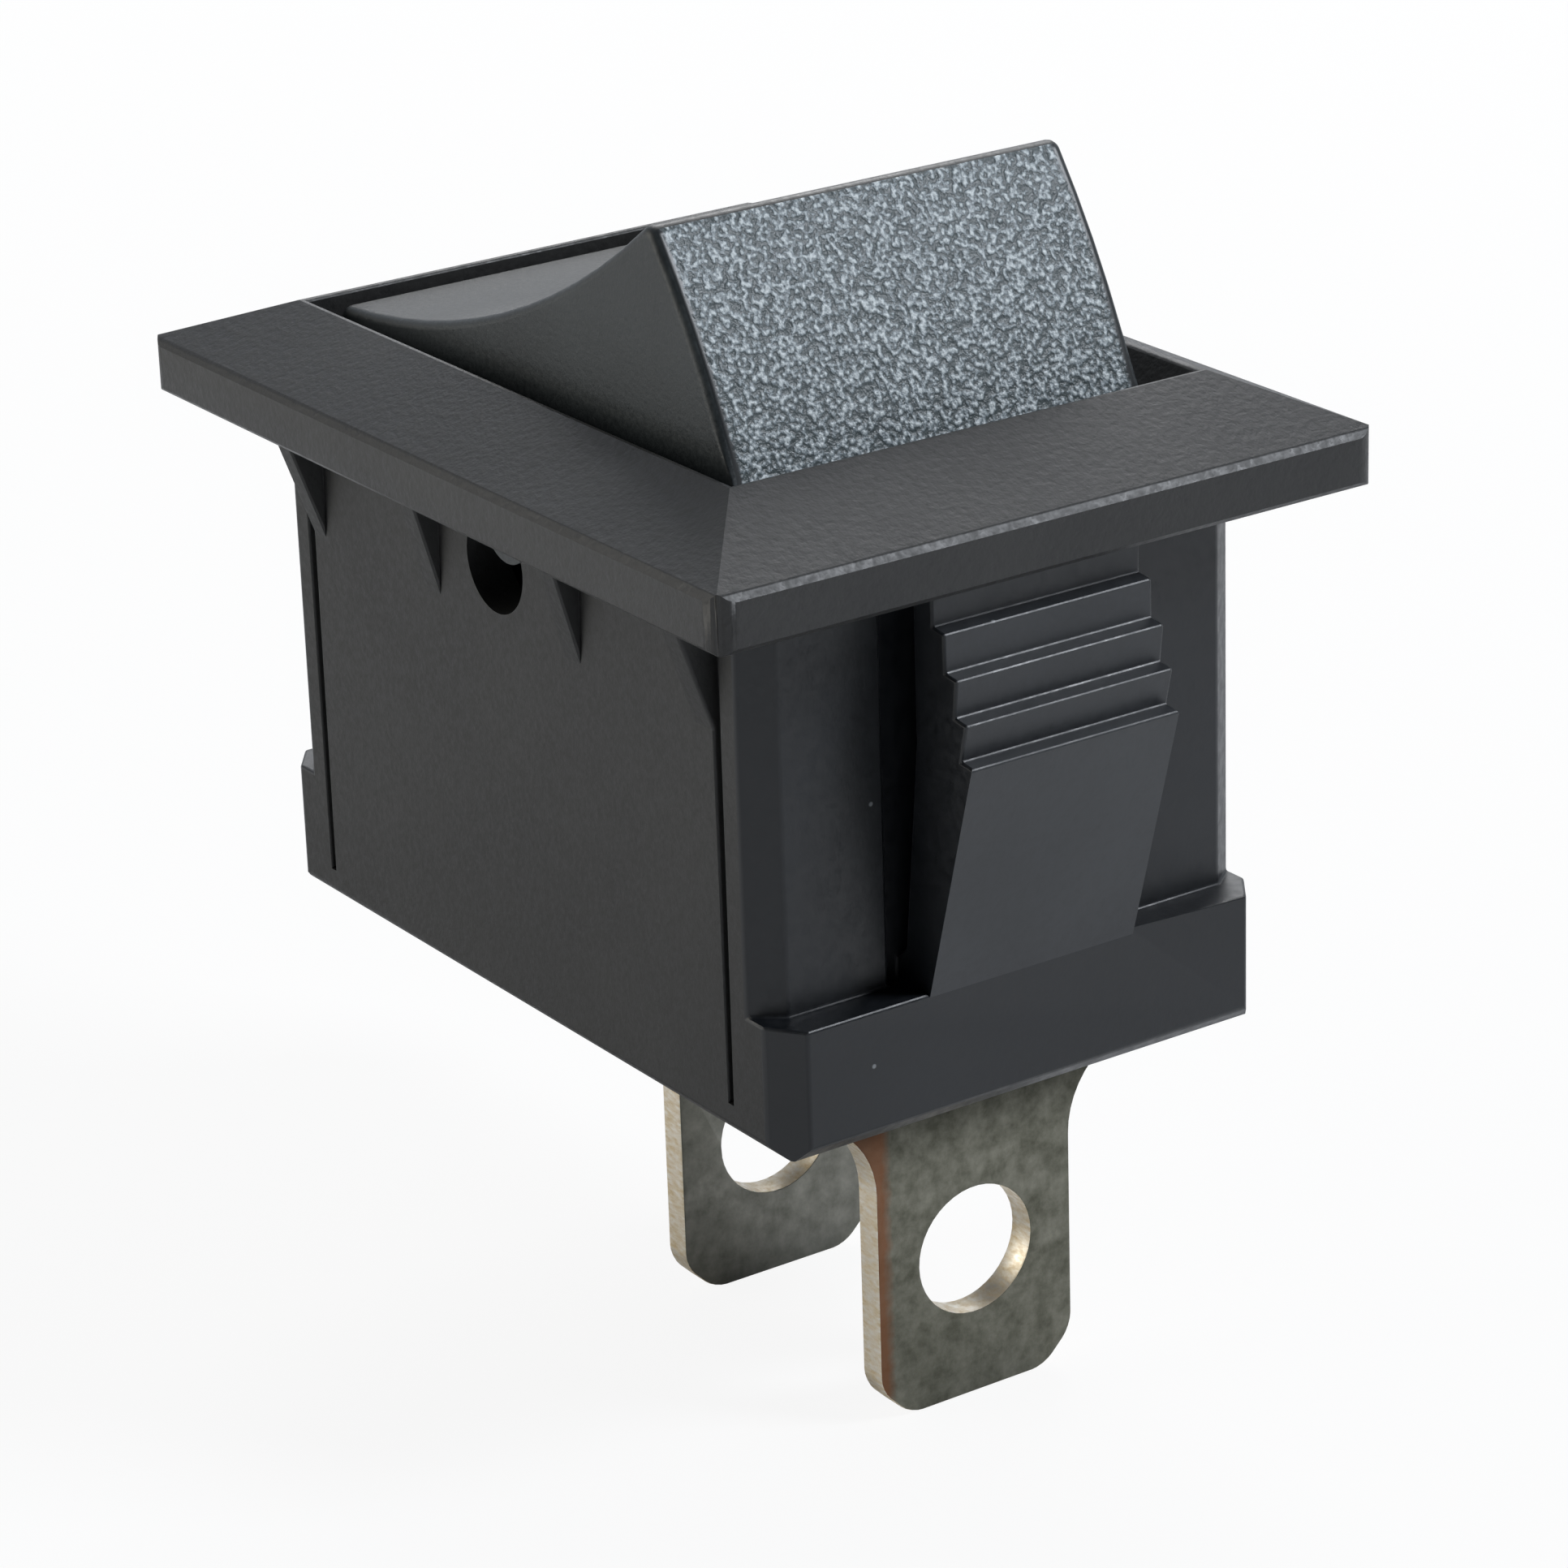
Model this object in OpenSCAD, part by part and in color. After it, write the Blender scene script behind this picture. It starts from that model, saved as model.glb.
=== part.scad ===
// Miniature snap-in panel rocker switch: single pole, on-off, two solder terminals.
// Origin: centre of the panel opening, in the plane of the bezel's underside.
// X runs along the bezel's long side, towards the raised end of the rocker.
// Z points out of the panel. All sizes are in millimetres.

/* [Bezel] */
// Length of the bezel, along X
bezel_l = 15; // [14.2:0.1:18]
// Width of the bezel, along Y
bezel_w = 11; // [10:0.1:14]
// Thickness of the bezel at its outer edge
bezel_edge = 0.8; // [0.6:0.05:1.1]
// Height of the bezel's inner rim above the panel
bezel_h = 1.5; // [1.3:0.05:2]
// Corner radius of the bezel in plan
bezel_r = 0.35; // [0.15:0.05:1]
// Small break along the bezel's outer edges
edge_break = 0.08; // [0.03:0.01:0.15]
// Flat land around the rocker opening
rim_land = 0.08; // [0.04:0.01:0.2]
// How far the opening's long sides flare out at the top
mouth_flare = 0.4; // [0.2:0.05:0.6]
// Depth of that flare
mouth_depth = 0.55; // [0.3:0.05:0.9]

/* [Body] */
// Depth of the body below the panel
body_h = 7.9; // [7.7:0.1:9]
// Thickness of the long side walls
side_wall = 0.66; // [0.5:0.02:0.9]
// Thickness of the end walls
end_wall = 0.64; // [0.55:0.02:0.9]
// Thickness of the floor
floor_t = 1; // [0.8:0.05:1.1]
// Bevel on the body's upright corners, along X
corner_cut_x = 0.36; // [0.15:0.03:0.45]
// Bevel on the body's upright corners, along Y
corner_cut_y = 0.45; // [0.15:0.03:0.6]
// Width of the plain strip between a corner and the groove beside it
strip_w = 0.38; // [0.3:0.02:0.6]
// Width of the four upright grooves in the side walls
groove_w = 0.14; // [0.1:0.02:0.2]
// Depth of the grooves
groove_d = 0.12; // [0.08:0.02:0.2]
// Height above the base at which the grooves end
groove_foot = 0.5; // [0.3:0.1:1.5]

/* [Base collar] */
// Height of the collar around the base
collar_h = 1.95; // [1.6:0.05:2.2]
// How far the collar stands out from each end wall
collar_out = 0.55; // [0.4:0.02:0.8]
// Bevel on the collar's upright corners, along X
collar_cut_x = 0.52; // [0.3:0.02:0.8]
// Bevel on the collar's upright corners, along Y
collar_cut_y = 0.38; // [0.2:0.02:0.6]
// Bevel along the bottom edges
base_bevel = 0.2; // [0.1:0.02:0.3]

/* [Snap latches] */
// Width of each latch tongue
latch_w = 3.5; // [2.5:0.1:4.5]
// How far the latch ridge stands out from the end wall
latch_reach = 1.62; // [1.3:0.02:1.9]
// Depth of the latch ridge below the panel plane
latch_ridge_z = 2.35; // [2.2:0.05:2.8]
// Number of ratchet teeth above the ridge
teeth = 3; // [2:1:4]
// Depth of the top tooth below the panel plane
top_tooth = 0.61; // [0.5:0.02:0.8]
// Depth of each tooth's shelf
shelf = 0.26; // [0.12:0.02:0.3]
// How far the first tooth stands back from the ridge
tooth_back = 0.125; // [0.08:0.005:0.16]
// How much more each further tooth stands back
tooth_curve = 0.07; // [0.04:0.01:0.08]
// Gap between the latch's free end and the bezel
free_gap = 0.15; // [0.1:0.01:0.2]
// Depth of the relief in the end wall behind the tongue
relief = 0.2; // [0.1:0.02:0.3]
// Side clearance between the tongue and its relief
relief_side = 0.3; // [0.15:0.05:0.6]

/* [Centring ribs] */
// Width of each wedge rib
rib_w = 0.4; // [0.25:0.05:0.6]
// Length of each wedge rib, down the side wall
rib_l = 1.95; // [1.2:0.05:2.5]
// Height of the inner ribs at the bezel
rib_h = 0.55; // [0.2:0.05:0.7]
// Height of the corner ribs at the bezel
corner_rib_h = 0.7; // [0.3:0.05:0.9]
// Distance between the two inner ribs
rib_pitch = 3.7; // [3:0.1:4.4]

/* [Rocker] */
// Width of the rocker
rocker_w = 6.84; // [6.6:0.02:7.6]
// Tilt of the rocker to each side of centre
tilt = 20; // [14:1:22]
// Distance from the rocker's centre line to each ridge
ridge_x = 4.51; // [4.2:0.05:4.8]
// Height of the finger surface's valley above the pivot
valley_h = 2.87; // [2.7:0.05:3.2]
// Radius of the concave finger surface
finger_r = 15; // [12:0.5:22]
// Radius of the bowed end faces
face_r = 14; // [10:0.5:30]
// Half length of the rocker at its lower edge
foot_x = 5.12; // [4.9:0.02:5.2]
// Depth of the rocker's lower edge below the pivot
skirt = 0.6; // [0.4:0.05:0.8]
// Rounding of the ridges
ridge_r = 0.22; // [0.1:0.02:0.4]
// Wall thickness of the rocker
rocker_wall = 0.75; // [0.6:0.05:1]
// Extra thickness of the rocker's roof and lower end walls
rocker_extra = 0.15; // [0.05:0.05:0.3]
// Plastic left above the rocker's spring bore
bore_roof = 0.4; // [0.3:0.05:0.6]
// Gap between the rocker and the opening's end walls
end_gap = 0.08; // [0.06:0.01:0.2]
// Gap between the rocker and the side walls
side_gap = 0.08; // [0.05:0.01:0.12]

/* [Pivot] */
// Depth of the pivot axis below the panel plane
pivot_depth = 0.45; // [0.4:0.05:0.7]
// Radius of the rocker's trunnions
trunnion_r = 0.6; // [0.5:0.05:0.7]
// Length of each trunnion
trunnion_l = 0.62; // [0.4:0.02:0.7]
// Radial clearance of the trunnions and of the plunger
fit_gap = 0.05; // [0.03:0.01:0.08]
// Radius of the core hole below the pivot
core_r = 0.74; // [0.66:0.02:0.9]
// Distance from the pivot axis down to the core hole's centre
core_drop = 0.61; // [0.4:0.01:0.7]
// Distance of the core hole's centre from the pivot towards the pressed end
core_shift = 0.15; // [0:0.05:0.2]

/* [Plunger and spring] */
// Distance from the pivot to the centre of the plunger's round tip
tip_reach = 3.9; // [3.7:0.05:4]
// Radius of the plunger's tip
tip_r = 0.6; // [0.5:0.02:0.62]
// Radius of the plunger's guided head
head_r = 1; // [0.85:0.05:1.1]
// Length of the plunger's guided head
head_l = 1; // [0.7:0.05:1.2]
// Length of the plunger's neck, from the centre of its tip
neck_l = 1.6; // [1.4:0.05:1.8]
// Length of the spigot inside the spring
spigot_l = 0.6; // [0.4:0.05:0.7]
// How far the plunger can be pressed into the rocker
plunger_travel = 0.5; // [0.2:0.05:0.7]
// Wall of the rocker's spring tube
tube_wall = 0.5; // [0.4:0.05:0.7]
// Diameter of the spring wire
wire_d = 0.22; // [0.16:0.02:0.26]
// Play between the spring and its bore, and around the spigot
spring_play = 0.1; // [0.06:0.01:0.14]
// Number of coils
coils = 6; // [4:1:7]

/* [Contact bridge] */
// Thickness of the bridge strip
strip_t = 0.35; // [0.25:0.05:0.4]
// Width of the bridge strip
bridge_w = 3.2; // [2.6:0.1:3.6]
// Radius of the dish that the plunger rides in
dish_r = 3.3; // [3.3:0.05:3.5]
// Half angle of that dish
dish_a = 31; // [30:1:34]
// Upward slope of the arms outside the dish
arm_slope = 5; // [3:1:8]
// Distance from the centre to each end of the bridge
bridge_reach = 4.9; // [4.6:0.05:5]
// Tilt of the bridge to each side of level
bridge_tilt = 4; // [3:0.5:4]
// Radius of the silver contacts
silver_r = 0.9; // [0.7:0.05:1]
// Thickness of each silver contact
silver_t = 0.35; // [0.25:0.05:0.4]
// Working gap left between pieces that touch when they move
rest_gap = 0.02; // [0.01:0.01:0.03]

/* [Terminals] */
// Thickness of the terminal strip
blade_t = 0.45; // [0.35:0.05:0.5]
// Width of each terminal blade
blade_w = 3.4; // [2.8:0.1:3.8]
// Length of the blades below the body
blade_l = 5.3; // [4.8:0.05:7]
// Width of the shoulders at the body's underside
shoulder_w = 4.9; // [4.6:0.1:5.4]
// Radius of the concave flare that widens a blade into its shoulders
flare_r = 1.4; // [1.2:0.1:2]
// Depth below the body at which the flare starts
flare_drop = 1.7; // [1.5:0.1:2]
// Cut on the blades' lower corners
tip_cut = 0.5; // [0.3:0.05:0.8]
// Radius of the solder hole
hole_r = 0.98; // [0.7:0.02:1.2]
// Height of the solder hole's centre above the blade's end
hole_up = 2.27; // [1.9:0.01:2.6]
// Height of the common terminal's prongs above the dish
prong_h = 0.5; // [0.3:0.05:0.6]
// Width of those prongs
prong_w = 0.45; // [0.3:0.05:0.5]
// Play between the prongs and the bridge
prong_gap = 0.1; // [0.06:0.01:0.14]
// Width of the terminals inside the body
neck_w = 3.2; // [2.6:0.1:3.4]
// Distance from the common terminal to the end terminal
terminal_pitch = 5.03; // [4.9:0.01:5.1]
// Clearance of the terminals in their slots
slot_gap = 0.03; // [0.02:0.01:0.06]

/* [Hidden] */

over = 1;              // overrun of a cut past the face it opens
rib_root = 0.1;        // how deep a rib is rooted in its wall
round_fn = 48;         // facets of small round features
big_fn = 180;          // facets of the large bows
black_nylon = [0.20, 0.20, 0.20];
rocker_nylon = [0.26, 0.28, 0.29];
brass = [0.62, 0.56, 0.42];
copper = [0.72, 0.45, 0.30];
silver = [0.83, 0.83, 0.81];
steel = [0.60, 0.61, 0.63];
white_nylon = [0.86, 0.85, 0.80];

// Rocker, in its own frame: the pivot is the origin and Z is its line of symmetry
ridge_z = valley_h + finger_r - sqrt(finger_r * finger_r - ridge_x * ridge_x);
ridge_reach = norm([ridge_x, ridge_z]);
pressed_x = ridge_reach * cos(atan2(ridge_z, ridge_x) - tilt);
tube_r = head_r + fit_gap + tube_wall;
neck_top = -tip_reach + neck_l;               // underside of the plunger's head
tube_end = neck_top - edge_break;             // lower end of the spring tube
roof_z = valley_h - rocker_wall - rocker_extra;   // underside of the rocker's roof
bore_top = roof_z - bore_roof;                // blind end of the spring bore
spring_r = head_r - wire_d / 2 - spring_play; // mean radius of the spring

// Body
open_x = pressed_x + end_gap;                 // half length of the opening
open_y = rocker_w / 2 + side_gap;             // half width of the cavity
mouth_y = open_y + mouth_flare;               // half width of the opening at the rim
body_x = open_x + end_wall;                   // half length over the end walls
body_y = open_y + side_wall;                  // half width over the side walls
collar_x = body_x + collar_out;
groove_x = body_x - corner_cut_x - strip_w - groove_w;  // inner edge of a groove
floor_z = -body_h + floor_t;                  // top of the floor
collar_z = -body_h + collar_h;                // top of the collar

// Contact bridge: the saddle's rounded edge is the axis it rocks on
dish_z = -pivot_depth - tip_reach - tip_r - rest_gap;    // top of the dish's lowest point
saddle_r = blade_t / 2;
saddle_z = dish_z - strip_t - rest_gap - saddle_r;       // axis of the saddle's edge
arm_x = dish_r * sin(dish_a);
arm_z = dish_r * (1 - cos(dish_a));
notch_x = saddle_r + 1.5 * prong_gap;         // half length of the notches in the bridge
bridge_neck = neck_w - 2 * prong_w - 2 * prong_gap;      // width between the prongs
silver_x = bridge_reach - silver_r;           // place of the silver contact on the bridge
silver_top = arm_z + (silver_x - arm_x) * tan(arm_slope) - strip_t / cos(arm_slope);

// Terminals
common_x = 0;
end_x = common_x + terminal_pitch;
blade_z = -body_h - blade_l;                  // lower end of the blades
hole_z = blade_z + hole_up;
// Middle of the silver contact's face in the bridge's frame, then its lowest point at rest
silver_fx = silver_x + silver_t * sin(arm_slope);
silver_fz = dish_z - saddle_z + silver_top - silver_t * cos(arm_slope);
silver_low = saddle_z + silver_fz * cos(bridge_tilt) - silver_fx * sin(bridge_tilt)
    - silver_r * sin(abs(bridge_tilt - arm_slope));
fixed_top = silver_low - rest_gap;
shelf_z = fixed_top - silver_t;
shelf_in = silver_x - silver_r - edge_break;  // inner end of the shelf

// --- helpers -------------------------------------------------------------

// Extrudes an XZ outline along Y, centred
module along_y(length) {
    rotate([90, 0, 0]) linear_extrude(length, center = true) children();
}

// Extrudes a YZ outline along X, centred
module along_x(length) {
    rotate([90, 0, 90]) linear_extrude(length, center = true) children();
}

// A rectangle with its four corners cut off
module cut_rect(half_x, half_y, cut_x, cut_y) {
    polygon([
        [half_x, -half_y + cut_y], [half_x, half_y - cut_y],
        [half_x - cut_x, half_y], [-half_x + cut_x, half_y],
        [-half_x, half_y - cut_y], [-half_x, -half_y + cut_y],
        [-half_x + cut_x, -half_y], [half_x - cut_x, -half_y]
    ]);
}

// A rectangle with round corners
module round_rect(half_x, half_y, r) {
    square([2 * half_x - 2 * r, 2 * half_y], center = true);
    square([2 * half_x, 2 * half_y - 2 * r], center = true);
    for (sx = [-1, 1], sy = [-1, 1])
        translate([sx * (half_x - r), sy * (half_y - r)]) circle(r, $fn = round_fn);
}

// Puts its children on both sides of the YZ plane
module both_ends() {
    children();
    mirror([1, 0, 0]) children();
}

// Puts its children on both sides of the XZ plane
module both_sides() {
    children();
    mirror([0, 1, 0]) children();
}

// The rocker's own frame, tipped into the rest position
module in_rocker() {
    translate([0, 0, -pivot_depth]) rotate([0, -tilt, 0]) children();
}

// The bridge's own frame: origin on the saddle's axis, tipped into the rest position
module in_bridge() {
    translate([0, 0, saddle_z]) rotate([0, bridge_tilt, 0]) children();
}

// --- housing ---------------------------------------------------------------

// Section of the bezel: thin at the edge, sloping up to the rocker opening
module bezel_section(half, inner) {
    slope = (bezel_h - bezel_edge) / (half - inner);
    for (s = [-1, 1])
        polygon([
            [0, 0], [s * (half - edge_break), 0], [s * half, edge_break],
            [s * half, bezel_edge - edge_break],
            [s * (half - edge_break), bezel_edge + slope * edge_break],
            [s * inner, bezel_h], [0, bezel_h]
        ]);
}

module bezel() {
    intersection() {
        along_y(bezel_w) bezel_section(bezel_l / 2, open_x + rim_land);
        along_x(bezel_l) bezel_section(bezel_w / 2, mouth_y + rim_land);
        linear_extrude(bezel_h) round_rect(bezel_l / 2, bezel_w / 2, bezel_r);
    }
}

// Flared opening for the rocker, with the cavity below it
module opening() {
    translate([-open_x, -open_y, floor_z])
        cube([2 * open_x, 2 * open_y, bezel_h - floor_z + over]);
    along_x(2 * open_x) polygon([
        [-open_y, bezel_h - mouth_depth], [open_y, bezel_h - mouth_depth],
        [mouth_y, bezel_h], [mouth_y, bezel_h + over],
        [-mouth_y, bezel_h + over], [-mouth_y, bezel_h]
    ]);
}

module bottom_section(half) {
    polygon([
        [-half + base_bevel, -body_h], [half - base_bevel, -body_h],
        [half, -body_h + base_bevel], [half, 0], [-half, 0], [-half, -body_h + base_bevel]
    ]);
}

module body() {
    intersection() {
        union() {
            translate([0, 0, -body_h]) linear_extrude(body_h)
                cut_rect(body_x, body_y, corner_cut_x, corner_cut_y);
            translate([0, 0, -body_h]) linear_extrude(collar_h)
                cut_rect(collar_x, body_y, collar_cut_x, collar_cut_y);
        }
        along_y(2 * body_y) bottom_section(collar_x);
        along_x(2 * collar_x) bottom_section(body_y);
    }
}

// One upright groove, from under the bezel to just above the base
module groove() {
    translate([groove_x, body_y - groove_d, groove_foot - body_h])
        cube([groove_w, groove_d + over, body_h - groove_foot]);
}

// Outline of one latch tongue, in XZ: long lead-in face, ridge, then the ratchet teeth
tooth_h = (latch_ridge_z - top_tooth) / teeth;
function tooth_x(i) = body_x + latch_reach - i * tooth_back - i * (i - 1) / 2 * tooth_curve;
function tooth_z(i) = -latch_ridge_z + i * tooth_h;
tongue_gap = 0.35;     // gap behind the tongue at its free end
module latch() {
    along_y(latch_w) polygon(concat(
        [[collar_x, collar_z - 0.05]],
        [for (i = [0:teeth]) each [
            [tooth_x(i), tooth_z(i)],
            [tooth_x(i) - shelf, tooth_z(i) + 0.03]
        ]],
        [
            [tooth_x(teeth) - shelf, -free_gap],
            [body_x + tongue_gap, -free_gap],
            [body_x + tongue_gap, -latch_ridge_z],
            [body_x, collar_z + 0.5], [body_x - relief, collar_z + 0.3],
            [body_x - relief, collar_z - 0.05]
        ]
    ));
}

// Relief in the end wall behind the tongue, so that it can bend in
module latch_relief() {
    half = latch_w / 2 + relief_side;
    translate([body_x - relief, -half, collar_z])
        cube([relief + over, 2 * half, -collar_z]);
}

// A wedge rib under the bezel that centres the body in the panel opening
module rib(x, height) {
    translate([x, body_y, 0]) along_x(rib_w)
        polygon([[-rib_root, 0], [height, 0], [0, -rib_l], [-rib_root, -rib_l]]);
}

// Pivot bore and the larger core hole that opens it downwards, in one side wall
module pivot_hole() {
    wall_cut = side_wall + 0.2;
    translate([0, open_y - 0.1, -pivot_depth]) rotate([-90, 0, 0]) {
        cylinder(r = trunnion_r + fit_gap, h = wall_cut, $fn = round_fn);
        translate([-core_shift, core_drop, 0]) cylinder(r = core_r, h = wall_cut, $fn = round_fn);
    }
}

// Slot through the floor for one terminal
module floor_slot(x) {
    half_y = neck_w / 2 + slot_gap;
    translate([x - blade_t / 2 - slot_gap, -half_y, -body_h - over])
        cube([blade_t + 2 * slot_gap, 2 * half_y, floor_t + 2 * over]);
}

module housing() {
    color(black_nylon) {
        difference() {
            union() {
                bezel();
                difference() {
                    body();
                    both_ends() latch_relief();
                    both_sides() both_ends() groove();
                }
                both_sides() both_ends() {
                    rib(rib_pitch / 2, rib_h);
                    rib(groove_x - rib_w / 2, corner_rib_h);
                }
                both_ends() latch();
            }
            opening();
            both_sides() pivot_hole();
            floor_slot(common_x);
            floor_slot(end_x);
        }
    }
}

// --- rocker ------------------------------------------------------------------

// Place of the bowed end face's centre: the bow passes the ridge and the foot
face_dx = foot_x - ridge_x;
face_dz = ridge_z;
face_chord = norm([face_dx, face_dz]);
face_off = sqrt(face_r * face_r - face_chord * face_chord / 4);
face_cx = (foot_x + ridge_x) / 2 - face_off * face_dz / face_chord;
face_cz = ridge_z / 2 - face_off * face_dx / face_chord;

// Outer section: bowed ends under a concave finger surface, sharp at the ridges
module rocker_section(inset) {
    difference() {
        intersection() {
            translate([-foot_x, -skirt]) square([2 * foot_x, skirt + ridge_z + 1]);
            translate([face_cx, face_cz]) circle(face_r - inset, $fn = big_fn);
            translate([-face_cx, face_cz]) circle(face_r - inset, $fn = big_fn);
        }
        translate([0, valley_h + finger_r]) circle(finger_r + inset, $fn = big_fn);
    }
}

// Centre of the round that touches both the finger surface and the end face
finger_c = [0, valley_h + finger_r];
face_c = [face_cx, face_cz];
span = norm(face_c - finger_c);
span_dir = (face_c - finger_c) / span;
near_r = finger_r + ridge_r;
far_r = face_r - ridge_r;
along = (near_r * near_r - far_r * far_r + span * span) / (2 * span);
aside = sqrt(near_r * near_r - along * along);
round_c = finger_c + along * span_dir + aside * [-span_dir[1], span_dir[0]];
// Points where the round meets the finger surface and the end face
touch_finger = finger_c + finger_r * (round_c - finger_c) / near_r;
touch_face = face_c + face_r * (round_c - face_c) / far_r;

// The same section with its two ridges rounded off
module rounded_section() {
    lead = 2 * ([ridge_x, ridge_z] - round_c);
    difference() {
        rocker_section(0);
        both_ends() polygon([touch_finger, touch_finger + lead, touch_face + lead, touch_face]);
    }
    both_ends() translate(round_c) circle(ridge_r, $fn = round_fn);
}

// Hollow inside, open at the bottom
module rocker_hollow() {
    half_x = foot_x - rocker_wall - rocker_extra;
    along_y(rocker_w - 2 * rocker_wall) intersection() {
        rocker_section(rocker_wall);
        union() {
            translate([-half_x, -skirt - over])
                square([2 * half_x, skirt + over + roof_z]);
            translate([-half_x + rocker_wall, 0])
                square([2 * (half_x - rocker_wall), ridge_z]);
        }
    }
    translate([0, 0, -skirt])
        cube([2 * half_x, rocker_w - 2 * rocker_wall, skirt], center = true);
}

module rocker() {
    lobe_r = trunnion_r + tube_wall;
    color(rocker_nylon) in_rocker() difference() {
        union() {
            difference() {
                along_y(rocker_w) rounded_section();
                rocker_hollow();
            }
            // side cheeks that carry the trunnions
            both_sides() translate([0, rocker_w / 2 - rocker_wall, 0]) rotate([-90, 0, 0])
                cylinder(r = lobe_r, h = rocker_wall, $fn = round_fn);
            both_sides() translate([0, rocker_w / 2 - 0.1, 0]) rotate([-90, 0, 0])
                cylinder(r = trunnion_r, h = trunnion_l + 0.1, $fn = round_fn);
            // spring tube and the two webs that brace it
            translate([0, 0, tube_end])
                cylinder(r = tube_r, h = roof_z + 0.3 - tube_end, $fn = round_fn);
            translate([-foot_x + rocker_wall, -rocker_wall / 2, 0])
                cube([2 * (foot_x - rocker_wall), rocker_wall, roof_z]);
        }
        translate([0, 0, tube_end - over])
            cylinder(r = head_r + fit_gap, h = bore_top - tube_end + over, $fn = round_fn);
    }
}

// --- plunger and spring --------------------------------------------------------

module plunger() {
    color(white_nylon) in_rocker() rotate_extrude($fn = round_fn) difference() {
        union() {
            translate([0, -tip_reach]) circle(tip_r, $fn = round_fn);
            translate([0, -tip_reach]) square([tip_r, tip_reach + neck_top]);
            translate([0, neck_top]) square([head_r, head_l]);
            translate([0, neck_top + head_l]) square([spring_r - wire_d / 2 - spring_play, spigot_l]);
        }
        translate([-2 * tip_r, -tip_reach - 2 * tip_r]) square([2 * tip_r, 4 * tip_r]);
    }
}

// Compression spring between the plunger's head and the blind end of the bore
module plunger_spring() {
    sides = 8;
    steps = 18;                 // sections per coil
    low = neck_top + head_l + wire_d / 2;
    high = bore_top - wire_d / 2;
    count = steps * coils;
    centre = [for (i = [0:count]) [
        spring_r * cos(360 * i / steps), spring_r * sin(360 * i / steps),
        low + (high - low) * i / count
    ]];
    points = [for (i = [0:count]) each [for (k = [0:sides - 1]) [
        (spring_r + wire_d / 2 * cos(360 * k / sides)) * cos(360 * i / steps),
        (spring_r + wire_d / 2 * cos(360 * k / sides)) * sin(360 * i / steps),
        centre[i][2] + wire_d / 2 * sin(360 * k / sides)
    ]]];
    walls = [for (i = [0:count - 1]) each [for (k = [0:sides - 1]) [
        i * sides + k, i * sides + (k + 1) % sides,
        (i + 1) * sides + (k + 1) % sides, (i + 1) * sides + k
    ]]];
    start = [[for (k = [sides - 1:-1:0]) k]];
    end = [[for (k = [0:sides - 1]) count * sides + k]];
    color(steel) in_rocker() polyhedron(points, concat(start, walls, end));
}

// --- contact bridge ------------------------------------------------------------

// Side outline of the bridge: a dish for the plunger between two rising arms
module bridge_section() {
    blend = 0.3;               // overlap of the arms and the dish
    under = strip_t / cos(arm_slope);
    rise = tan(arm_slope);
    inner = [arm_x - blend, arm_z - blend * rise];
    outer = [bridge_reach, arm_z + (bridge_reach - arm_x) * rise];
    dish_half = arm_x + blend;
    difference() {
        union() {
            intersection() {
                translate([0, dish_r]) circle(dish_r + strip_t, $fn = big_fn);
                translate([-dish_half, -2 * strip_t])
                    square([2 * dish_half, 2 * strip_t + arm_z - under / 2]);
            }
            polygon([
                [inner[0], inner[1] - under], [outer[0], outer[1] - under],
                outer, inner, [-inner[0], inner[1]], [-outer[0], outer[1]],
                [-outer[0], outer[1] - under], [-inner[0], inner[1] - under]
            ]);
        }
        translate([0, dish_r]) circle(dish_r, $fn = big_fn);
    }
}

module contact_bridge() {
    color(copper) in_bridge() difference() {
        translate([0, 0, dish_z - saddle_z]) along_y(bridge_w) bridge_section();
        both_sides() translate([-notch_x, bridge_neck / 2, -over])
            cube([2 * notch_x, bridge_w, dish_r + over]);
    }
}

// Silver contact, square to the underside of the arm
module bridge_contact() {
    color(silver) in_bridge() translate([silver_x, 0, dish_z - saddle_z + silver_top])
        rotate([0, -arm_slope, 0]) translate([0, 0, -silver_t])
            cylinder(r = silver_r, h = silver_t, $fn = round_fn);
}

// --- terminals -------------------------------------------------------------------

// Blade below the body, in YZ: shoulders, concave flare, cut corners and a solder hole
module blade_section() {
    flare_z = -body_h - flare_drop;
    difference() {
        union() {
            polygon([
                [-blade_w / 2, -body_h], [-blade_w / 2, blade_z + tip_cut],
                [-blade_w / 2 + tip_cut, blade_z], [blade_w / 2 - tip_cut, blade_z],
                [blade_w / 2, blade_z + tip_cut], [blade_w / 2, -body_h]
            ]);
            translate([-shoulder_w / 2, flare_z]) square([shoulder_w, flare_drop]);
        }
        for (s = [-1, 1])
            translate([s * (blade_w / 2 + flare_r), flare_z]) circle(flare_r, $fn = big_fn);
        translate([0, hole_z]) circle(hole_r, $fn = big_fn);
    }
}

// Centre terminal: its top edge is the rounded saddle that the bridge rocks on
module common_terminal() {
    prong_top = dish_z + prong_h;
    color(brass) translate([common_x, 0, 0]) {
        along_x(blade_t) blade_section();
        translate([-blade_t / 2, -neck_w / 2, -body_h])
            cube([blade_t, neck_w, saddle_z + body_h]);
        translate([0, 0, saddle_z]) rotate([90, 0, 0])
            cylinder(r = saddle_r, h = neck_w, center = true, $fn = round_fn);
        both_sides() translate([-blade_t / 2, neck_w / 2 - prong_w, saddle_z])
            cube([blade_t, prong_w, prong_top - saddle_z]);
    }
}

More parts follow.
